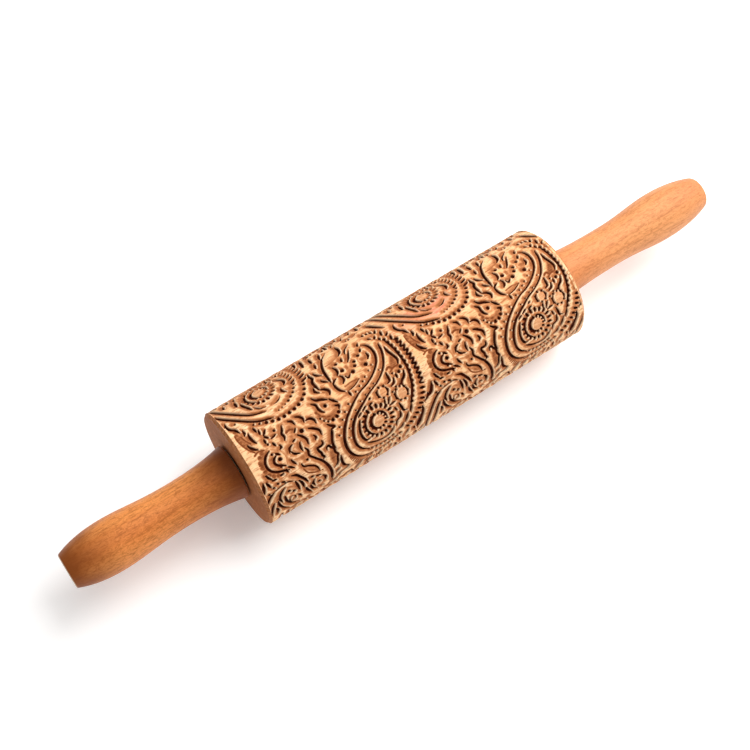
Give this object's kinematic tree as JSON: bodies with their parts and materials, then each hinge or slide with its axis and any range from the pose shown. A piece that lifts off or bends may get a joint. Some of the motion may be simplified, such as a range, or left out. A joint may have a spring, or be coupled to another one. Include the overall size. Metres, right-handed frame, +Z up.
{
  "type": "embossed rolling pin",
  "caption": "Wooden rolling pin: a barrel engraved all over with a repeating paisley relief spins on a steel rod between turned wooden handles.",
  "frame": {"origin": "centre of the barrel, on the axle's axis", "axes": "+X along the axle towards the right handle, +Z up, +Y away from the user"},
  "size_m": [0.3431, 0.055, 0.055],
  "materials": {
    "barrel_wood": "bare sanded beech with burnt laser-cut grooves",
    "handle_wood": "oiled warm brown hardwood, satin",
    "axle_steel": "drawn steel rod",
    "bush_nylon": "natural nylon",
    "washer_nylon": "black nylon",
    "insert_brass": "machined brass"
  },
  "bodies": {
    "grips": {"axle_rod": "axle_steel", "left_handle": "handle_wood", "right_handle": "handle_wood", "left_threaded_insert": "insert_brass", "right_threaded_insert": "insert_brass", "left_thrust_washer": "washer_nylon", "right_thrust_washer": "washer_nylon"},
    "roller": {"barrel": "barrel_wood", "left_bush": "bush_nylon", "right_bush": "bush_nylon"}
  },
  "joints": [
    {"name": "barrel_spin", "type": "hinge", "parent": "grips", "child": "roller", "pos_m": [0, 0, 0], "axis": [1, 0, 0], "continuous": true}
  ]
}
